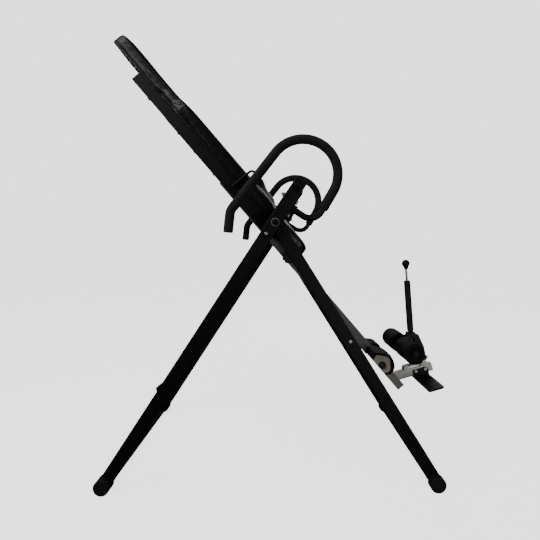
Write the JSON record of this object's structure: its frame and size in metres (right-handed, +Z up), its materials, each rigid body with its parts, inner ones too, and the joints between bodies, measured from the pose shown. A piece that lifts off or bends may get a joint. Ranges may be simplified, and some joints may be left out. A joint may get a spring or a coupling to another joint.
{
  "type": "inversion table",
  "caption": "Folding A-frame inversion table: a padded bed tilts on side pivots over a sliding boom with heel pads, foot tread and a lever-locked ankle clamp.",
  "frame": {"origin": "on the floor under the middle of the whole table", "axes": "+X towards the foot end, +Y to the user's left, +Z up"},
  "size_m": [1.274, 0.712, 1.6417],
  "materials": {
    "black_powder_coat": "satin",
    "grey_powder_coat": "satin",
    "light_grey_paint": "satin",
    "zinc_plate": "satin",
    "bright_fasteners": "satin",
    "black_fasteners": "satin",
    "bright_rod": "polished",
    "black_plastic": "matte",
    "beige_plastic": "satin",
    "black_rubber": "matte",
    "foam_grip": "matte",
    "roller_foam": "matte",
    "black_board": "satin",
    "padded_vinyl": "satin"
  },
  "bodies": {
    "front_frame": {"front_leg_left": "black_powder_coat", "front_leg_right": "black_powder_coat", "front_crossbar": "black_powder_coat", "front_foot_caps": "black_rubber", "handle_tube_left": "black_powder_coat", "handle_tube_right": "black_powder_coat", "handle_grip_left": "foam_grip", "handle_grip_right": "foam_grip", "handle_bolts": "bright_fasteners", "leg_clips": "black_powder_coat", "arm_plugs": "black_plastic", "arm_studs": "bright_fasteners", "tilt_bolts": "black_fasteners", "tilt_spacers": "black_powder_coat", "leg_hinge_bolts": "black_fasteners", "leg_hinge_washers": "black_plastic"},
    "rear_frame": {"rear_leg_left": "black_powder_coat", "rear_leg_right": "black_powder_coat", "rear_crossbar": "black_powder_coat", "rear_foot_caps": "black_rubber", "rear_brace": "black_powder_coat", "brace_bolts": "bright_fasteners"},
    "bed": {"side_rail_left": "black_powder_coat", "side_rail_right": "black_powder_coat", "bed_crossbars": "black_powder_coat", "pivot_cross_tubes": "black_powder_coat", "hinge_plate_left": "black_powder_coat", "hinge_plate_right": "black_powder_coat", "tilt_bushes": "black_plastic", "backrest_board": "black_board", "backrest_pad": "padded_vinyl", "backrest_screws": "bright_fasteners", "boom_outer": "grey_powder_coat", "boom_sleeve": "black_plastic", "selector_collar": "black_powder_coat", "selector_spring": "bright_fasteners", "tether_loop": "black_powder_coat"},
    "boom": {"boom_inner": "light_grey_paint", "heel_tube": "zinc_plate", "heel_pads": "roller_foam", "heel_cores": "beige_plastic", "heel_caps": "black_plastic", "ankle_bar": "zinc_plate", "foot_bracket": "black_powder_coat", "foot_plate": "black_powder_coat", "foot_bolts": "bright_fasteners", "clamp_lug": "zinc_plate", "clamp_pivot": "bright_fasteners"},
    "ankle_clamp": {"clamp_plates": "black_powder_coat", "lever_tube": "black_powder_coat", "lever_grip": "foam_grip", "roller_axle": "black_fasteners"},
    "right_roller": {"roller_core_right": "black_plastic", "roller_foam_right": "roller_foam"},
    "left_roller": {"roller_core_left": "black_plastic", "roller_foam_left": "roller_foam"},
    "lock": {"lock_rod": "bright_rod", "lock_knob": "black_plastic"},
    "selector": {"selector_pin": "bright_fasteners", "selector_knob": "black_plastic"}
  },
  "joints": [
    {"name": "frame_fold", "type": "hinge", "parent": "front_frame", "child": "rear_frame", "pos_m": [0.002, 0, 0.875], "axis": [0, 1, 0], "range_deg": [0, 60]},
    {"name": "bed_tilt", "type": "hinge", "parent": "front_frame", "child": "bed", "pos_m": [0.07, 0, 0.985], "axis": [0, -1, 0], "range_deg": [0, 138]},
    {"name": "height_adjust", "type": "slide", "parent": "bed", "child": "boom", "axis": [0.6521, 0, -0.7581], "range_m": [0, 0.25]},
    {"name": "selector_pull", "type": "slide", "parent": "bed", "child": "selector", "axis": [0, -1, 0], "range_m": [0, 0.012], "stiffness_N_per_m": 800, "springref_m": -0.005, "deforming": ["selector_spring"]},
    {"name": "ankle_clamp_swing", "type": "hinge", "parent": "boom", "child": "ankle_clamp", "pos_m": [0.595, 0, 0.34], "axis": [0, 1, 0], "range_deg": [0, 25]},
    {"name": "right_roller_spin", "type": "hinge", "parent": "ankle_clamp", "child": "right_roller", "pos_m": [0.515, 0, 0.402], "axis": [0, 1, 0], "continuous": true},
    {"name": "left_roller_spin", "type": "hinge", "parent": "ankle_clamp", "child": "left_roller", "pos_m": [0.515, 0, 0.402], "axis": [0, 1, 0], "continuous": true},
    {"name": "lock_pull", "type": "slide", "parent": "ankle_clamp", "child": "lock", "axis": [-0.069, 0, 0.9976], "range_m": [0, 0.018], "stiffness_N_per_m": 400, "springref_m": -0.01}
  ]
}
